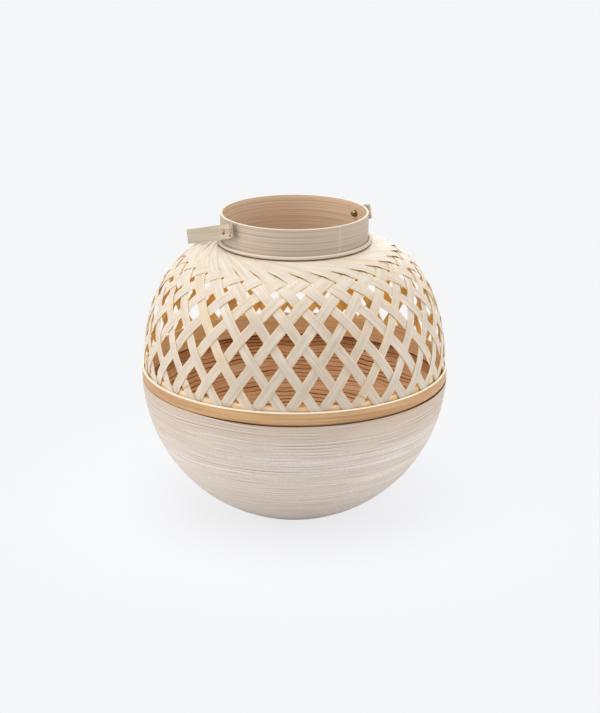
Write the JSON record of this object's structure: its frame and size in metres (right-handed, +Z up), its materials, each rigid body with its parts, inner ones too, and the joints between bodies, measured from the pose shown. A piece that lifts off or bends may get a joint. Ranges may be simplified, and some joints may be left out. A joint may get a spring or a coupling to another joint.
{
  "type": "bamboo lantern",
  "caption": "Round bamboo lantern: coiled bowl below, open woven strip dome above, upright neck collar and a flat bamboo bail handle that swings on two screws.",
  "frame": {"origin": "centre of the flat foot, on the surface that the lantern stands on", "axes": "+Z up through the neck; -Y towards the viewer; +X to the viewer's right; the handle lies back towards -X and +Y"},
  "size_m": [0.3, 0.3, 0.2962],
  "materials": {
    "weave_bamboo": "pale split bamboo strip, satin outer skin",
    "ring_bamboo": "natural bamboo band, fine lengthwise grain",
    "hoop_bamboo": "natural bamboo band, unbleached",
    "coiled_bamboo": "spun bamboo coils, whitewashed outside, natural brown inside",
    "collar_bamboo": "rolled bamboo veneer with fine level grain",
    "bead_bamboo": "pale split cane, rounded",
    "handle_bamboo": "pale bamboo slat, satin",
    "aged_brass": "dull aged brass",
    "dark_steel": "dark blued steel brad"
  },
  "bodies": {
    "lantern": {"bowl_shell": "coiled_bamboo", "outer_ring": "ring_bamboo", "inner_hoop": "hoop_bamboo", "neck_collar": "collar_bamboo", "neck_bead": "bead_bamboo", "neck_keeper": "ring_bamboo", "pivot_screw_near": "aged_brass", "pivot_screw_far": "aged_brass", "pivot_washer_near": "aged_brass", "pivot_washer_far": "aged_brass", "pivot_nut_near": "aged_brass", "pivot_nut_far": "aged_brass", "weave_strip_01": "weave_bamboo", "weave_strip_02": "weave_bamboo", "weave_strip_03": "weave_bamboo", "weave_strip_04": "weave_bamboo", "weave_strip_05": "weave_bamboo", "weave_strip_06": "weave_bamboo", "weave_strip_07": "weave_bamboo", "weave_strip_08": "weave_bamboo", "weave_strip_09": "weave_bamboo", "weave_strip_10": "weave_bamboo", "weave_strip_11": "weave_bamboo", "weave_strip_12": "weave_bamboo", "weave_strip_13": "weave_bamboo", "weave_strip_14": "weave_bamboo", "weave_strip_15": "weave_bamboo", "weave_strip_16": "weave_bamboo", "weave_strip_17": "weave_bamboo", "weave_strip_18": "weave_bamboo", "weave_strip_19": "weave_bamboo", "weave_strip_20": "weave_bamboo", "weave_strip_21": "weave_bamboo", "weave_strip_22": "weave_bamboo", "weave_strip_23": "weave_bamboo", "weave_strip_24": "weave_bamboo", "weave_strip_25": "weave_bamboo", "weave_strip_26": "weave_bamboo", "weave_strip_27": "weave_bamboo", "weave_strip_28": "weave_bamboo", "weave_strip_29": "weave_bamboo", "weave_strip_30": "weave_bamboo"},
    "handle": {"handle_bail": "handle_bamboo", "handle_tab_near": "handle_bamboo", "handle_tab_far": "handle_bamboo", "handle_brads": "dark_steel"}
  },
  "joints": [
    {"name": "handle_swing", "type": "hinge", "parent": "lantern", "child": "handle", "pos_m": [0, 0, 0.28547], "axis": [0.866, 0.5, 0], "range_deg": [0, 212.02]}
  ]
}
